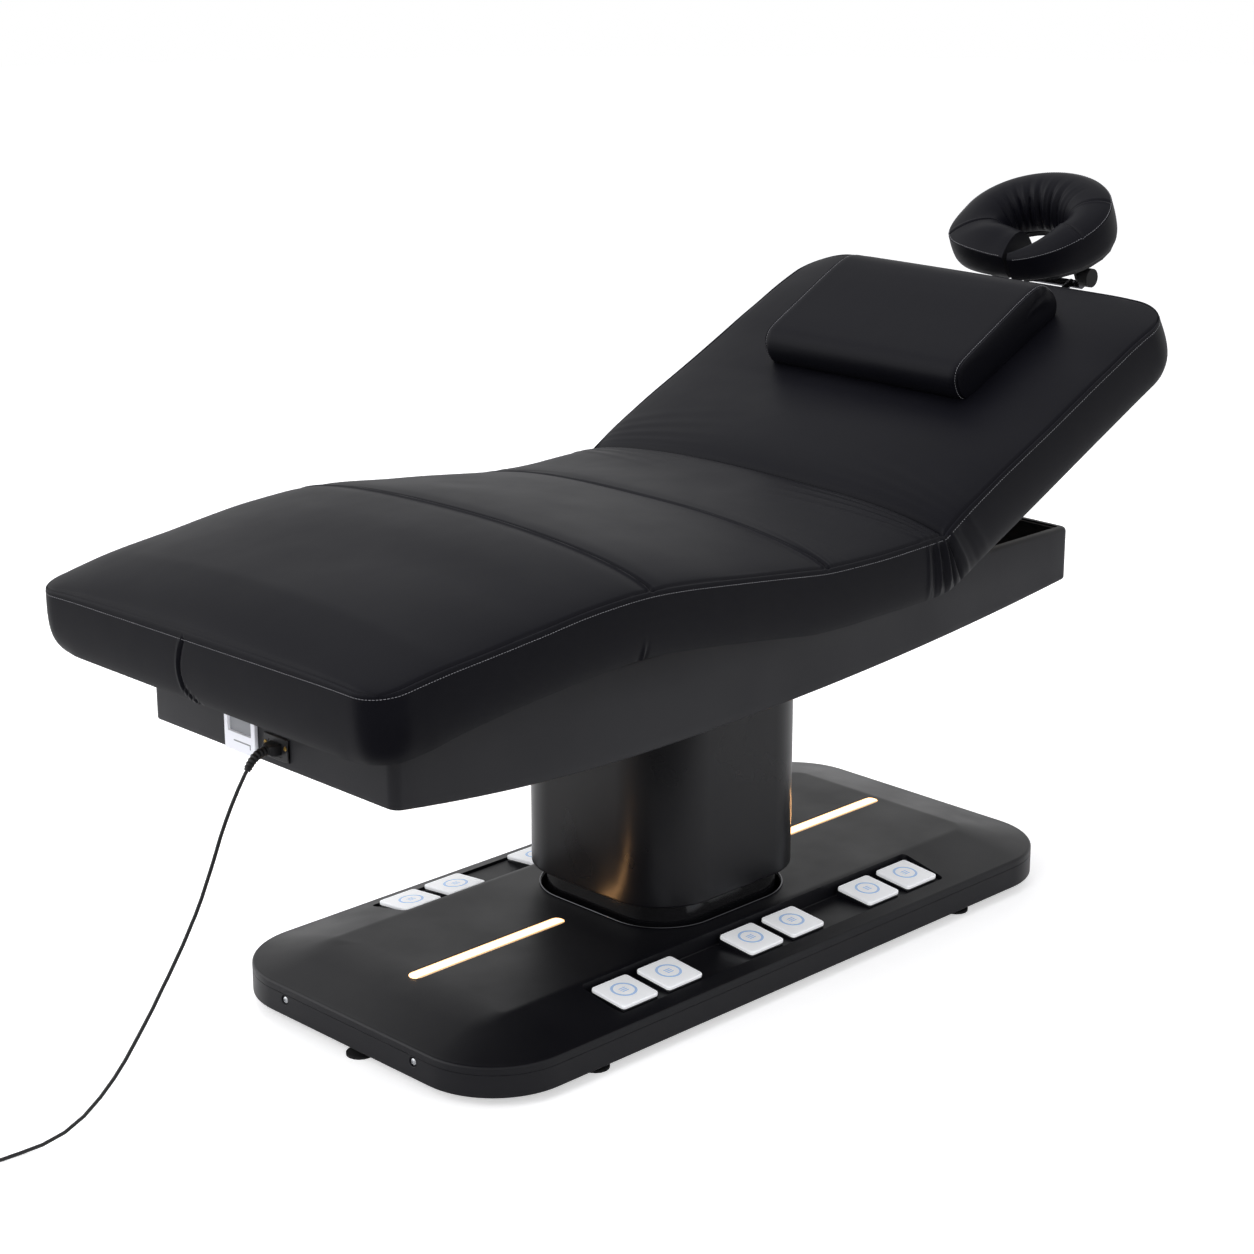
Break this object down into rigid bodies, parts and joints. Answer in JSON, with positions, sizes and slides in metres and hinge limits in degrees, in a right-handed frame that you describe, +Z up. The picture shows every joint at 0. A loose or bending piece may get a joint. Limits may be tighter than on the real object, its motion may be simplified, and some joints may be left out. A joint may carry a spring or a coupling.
{
  "type": "electric treatment bed",
  "caption": "Electric treatment bed: hinged padded sections with pillow and face cradle in a tray body, on a telescopic lift column over a low base with foot pedals and light strips.",
  "frame": {"origin": "On the floor, in the middle of the bed's length and width without its mains lead", "axes": "+X along the bed towards the face cradle, +Y across it away from the side with the pedals in view, +Z up"},
  "size_m": [2.5302, 0.8, 1.1625],
  "materials": {
    "base_shell": "satin",
    "column_satin": "satin",
    "column_gloss": "gloss",
    "tray_paint": "satin",
    "dark_steel": "satin",
    "bright_steel": "satin",
    "trim_chrome": "polished",
    "motor_aluminium": "satin",
    "actuator_plastic": "matte",
    "upholstery": "satin",
    "plywood": "matte",
    "pedal_plastic": "satin",
    "panel_plastic": "satin",
    "light_lens": "satin",
    "foot_rubber": "matte",
    "black_plastic": "satin"
  },
  "bodies": {
    "base": {"base_cover": "base_shell", "base_plate": "dark_steel", "light_strip_foot": "light_lens", "light_strip_head": "light_lens", "column_trim": "trim_chrome", "column_inner": "column_gloss", "lift_motor": "motor_aluminium", "pedal_rail_near": "pedal_plastic", "pedal_rail_far": "pedal_plastic", "cord_coil": "black_plastic", "cord_plug": "black_plastic"},
    "leveller_near_foot": {"leveller_near_foot_end": "foot_rubber"},
    "leveller_far_foot": {"leveller_far_foot_end": "foot_rubber"},
    "leveller_near_head": {"leveller_near_head_end": "foot_rubber"},
    "leveller_far_head": {"leveller_far_head_end": "foot_rubber"},
    "leveller_middle_foot": {"leveller_middle_foot_end": "foot_rubber"},
    "leveller_middle_head": {"leveller_middle_head_end": "foot_rubber"},
    "pedal_near_1": {"pedal_near_legs_down": "pedal_plastic"},
    "pedal_near_2": {"pedal_near_legs_up": "pedal_plastic"},
    "pedal_near_3": {"pedal_near_height_down": "pedal_plastic"},
    "pedal_near_4": {"pedal_near_height_up": "pedal_plastic"},
    "pedal_near_5": {"pedal_near_back_down": "pedal_plastic"},
    "pedal_near_6": {"pedal_near_back_up": "pedal_plastic"},
    "pedal_far_1": {"pedal_far_legs_down": "pedal_plastic"},
    "pedal_far_2": {"pedal_far_legs_up": "pedal_plastic"},
    "pedal_far_3": {"pedal_far_height_down": "pedal_plastic"},
    "pedal_far_4": {"pedal_far_height_up": "pedal_plastic"},
    "pedal_far_5": {"pedal_far_back_down": "pedal_plastic"},
    "pedal_far_6": {"pedal_far_back_up": "pedal_plastic"},
    "lift": {"tray": "tray_paint", "column_outer": "column_satin", "lift_rod": "bright_steel", "seat_cushion": "upholstery", "seat_board": "plywood", "deck_frame": "dark_steel", "back_fold": "upholstery", "hip_fold": "upholstery", "back_actuator": "actuator_plastic", "leg_actuator": "actuator_plastic", "service_panel": "panel_plastic", "power_unit": "black_plastic", "cord_connector": "black_plastic", "cord_run": "black_plastic"},
    "back_rod": {"back_rod": "bright_steel"},
    "leg_rod": {"leg_rod": "bright_steel"},
    "back": {"back_cushion": "upholstery", "back_board": "plywood", "back_frame": "dark_steel"},
    "pillow": {"pillow": "upholstery"},
    "cradle_bracket": {"cradle_bracket": "trim_chrome"},
    "cradle": {"cradle_plate": "black_plastic", "cradle_cushion": "upholstery"},
    "cradle_knob": {"cradle_knob": "foot_rubber"},
    "thigh": {"thigh_cushion": "upholstery", "thigh_board": "plywood", "thigh_frame": "dark_steel", "knee_fold": "upholstery"},
    "calf": {"calf_cushion": "upholstery", "calf_board": "plywood", "calf_frame": "dark_steel"}
  },
  "joints": [
    {"name": "lift_slide", "type": "slide", "parent": "base", "child": "lift", "axis": [0, 0, 1], "range_m": [-0.035, 0.25], "deforming": ["cord_run"]},
    {"name": "back_tilt", "type": "hinge", "parent": "lift", "child": "back", "pos_m": [0.16335, 0, 0.618], "axis": [0, -1, 0], "range_deg": [-25, 45], "deforming": ["back_fold"]},
    {"name": "leg_tilt", "type": "hinge", "parent": "lift", "child": "thigh", "pos_m": [-0.14265, 0, 0.618], "axis": [0, 1, 0], "range_deg": [-7.3, 13], "deforming": ["hip_fold"]},
    {"name": "knee_tilt", "type": "hinge", "parent": "thigh", "child": "calf", "pos_m": [-0.51759, 0, 0.66603], "axis": [0, 1, 0], "range_deg": [-22.2, 12.5], "deforming": ["knee_fold"]},
    {"name": "back_rod_slide", "type": "slide", "parent": "lift", "child": "back_rod", "axis": [1, 0, 0], "range_m": [-0.0385, 0.0685]},
    {"name": "leg_rod_slide", "type": "slide", "parent": "lift", "child": "leg_rod", "axis": [1, 0, 0], "range_m": [-0.0185, 0.0105]},
    {"name": "pillow_slide", "type": "slide", "parent": "back", "child": "pillow", "axis": [0.9063, 0, 0.4226], "range_m": [-0.1, 0.03]},
    {"name": "cradle_slide", "type": "slide", "parent": "back", "child": "cradle_bracket", "axis": [0.9063, 0, 0.4226], "range_m": [0, 0.12]},
    {"name": "cradle_tilt", "type": "hinge", "parent": "cradle_bracket", "child": "cradle", "pos_m": [0.88436, 0, 1.00497], "axis": [0, -1, 0], "range_deg": [-30, 8]},
    {"name": "cradle_knob_turn", "type": "hinge", "parent": "cradle_bracket", "child": "cradle_knob", "pos_m": [0.88436, -0.113, 1.00497], "axis": [0, -1, 0], "range_deg": [-180, 180]},
    {"name": "pedal_near_legs_down_press", "type": "hinge", "parent": "base", "child": "pedal_near_1", "pos_m": [-0.41365, -0.216, 0.0895], "axis": [1, 0, 0], "range_deg": [0, 2], "stiffness_Nm_per_rad": 2, "springref_deg": -2.98},
    {"name": "pedal_near_legs_up_press", "type": "hinge", "parent": "base", "child": "pedal_near_2", "pos_m": [-0.31565, -0.216, 0.0895], "axis": [1, 0, 0], "range_deg": [0, 2], "stiffness_Nm_per_rad": 2, "springref_deg": -2.98},
    {"name": "pedal_near_height_down_press", "type": "hinge", "parent": "base", "child": "pedal_near_3", "pos_m": [-0.12765, -0.216, 0.0895], "axis": [1, 0, 0], "range_deg": [0, 2], "stiffness_Nm_per_rad": 2, "springref_deg": -2.98},
    {"name": "pedal_near_height_up_press", "type": "hinge", "parent": "base", "child": "pedal_near_4", "pos_m": [-0.02965, -0.216, 0.0895], "axis": [1, 0, 0], "range_deg": [0, 2], "stiffness_Nm_per_rad": 2, "springref_deg": -2.98},
    {"name": "pedal_near_back_down_press", "type": "hinge", "parent": "base", "child": "pedal_near_5", "pos_m": [0.15835, -0.216, 0.0895], "axis": [1, 0, 0], "range_deg": [0, 2], "stiffness_Nm_per_rad": 2, "springref_deg": -2.98},
    {"name": "pedal_near_back_up_press", "type": "hinge", "parent": "base", "child": "pedal_near_6", "pos_m": [0.25635, -0.216, 0.0895], "axis": [1, 0, 0], "range_deg": [0, 2], "stiffness_Nm_per_rad": 2, "springref_deg": -2.98},
    {"name": "pedal_far_legs_down_press", "type": "hinge", "parent": "base", "child": "pedal_far_1", "pos_m": [-0.41365, 0.216, 0.0895], "axis": [-1, 0, 0], "range_deg": [0, 2], "stiffness_Nm_per_rad": 2, "springref_deg": -2.98},
    {"name": "pedal_far_legs_up_press", "type": "hinge", "parent": "base", "child": "pedal_far_2", "pos_m": [-0.31565, 0.216, 0.0895], "axis": [-1, 0, 0], "range_deg": [0, 2], "stiffness_Nm_per_rad": 2, "springref_deg": -2.98},
    {"name": "pedal_far_height_down_press", "type": "hinge", "parent": "base", "child": "pedal_far_3", "pos_m": [-0.12765, 0.216, 0.0895], "axis": [-1, 0, 0], "range_deg": [0, 2], "stiffness_Nm_per_rad": 2, "springref_deg": -2.98},
    {"name": "pedal_far_height_up_press", "type": "hinge", "parent": "base", "child": "pedal_far_4", "pos_m": [-0.02965, 0.216, 0.0895], "axis": [-1, 0, 0], "range_deg": [0, 2], "stiffness_Nm_per_rad": 2, "springref_deg": -2.98},
    {"name": "pedal_far_back_down_press", "type": "hinge", "parent": "base", "child": "pedal_far_5", "pos_m": [0.15835, 0.216, 0.0895], "axis": [-1, 0, 0], "range_deg": [0, 2], "stiffness_Nm_per_rad": 2, "springref_deg": -2.98},
    {"name": "pedal_far_back_up_press", "type": "hinge", "parent": "base", "child": "pedal_far_6", "pos_m": [0.25635, 0.216, 0.0895], "axis": [-1, 0, 0], "range_deg": [0, 2], "stiffness_Nm_per_rad": 2, "springref_deg": -2.98},
    {"name": "leveller_near_foot_turn", "type": "hinge", "parent": "base", "child": "leveller_near_foot", "pos_m": [-0.50865, -0.286, 0.01], "axis": [0, 0, 1], "continuous": true},
    {"name": "leveller_far_foot_turn", "type": "hinge", "parent": "base", "child": "leveller_far_foot", "pos_m": [-0.50865, 0.286, 0.01], "axis": [0, 0, 1], "continuous": true},
    {"name": "leveller_near_head_turn", "type": "hinge", "parent": "base", "child": "leveller_near_head", "pos_m": [0.35135, -0.286, 0.01], "axis": [0, 0, 1], "continuous": true},
    {"name": "leveller_far_head_turn", "type": "hinge", "parent": "base", "child": "leveller_far_head", "pos_m": [0.35135, 0.286, 0.01], "axis": [0, 0, 1], "continuous": true},
    {"name": "leveller_middle_foot_turn", "type": "hinge", "parent": "base", "child": "leveller_middle_foot", "pos_m": [-0.73265, 0, 0.01], "axis": [0, 0, 1], "continuous": true},
    {"name": "leveller_middle_head_turn", "type": "hinge", "parent": "base", "child": "leveller_middle_head", "pos_m": [0.57535, 0, 0.01], "axis": [0, 0, 1], "continuous": true}
  ],
  "couplings": [
    {"joint": "knee_tilt", "follows": "leg_tilt", "ratio": -1.685},
    {"joint": "back_rod_slide", "follows": "back_tilt", "m_per_rad": 0.0858},
    {"joint": "leg_rod_slide", "follows": "leg_tilt", "m_per_rad": -0.0796}
  ]
}
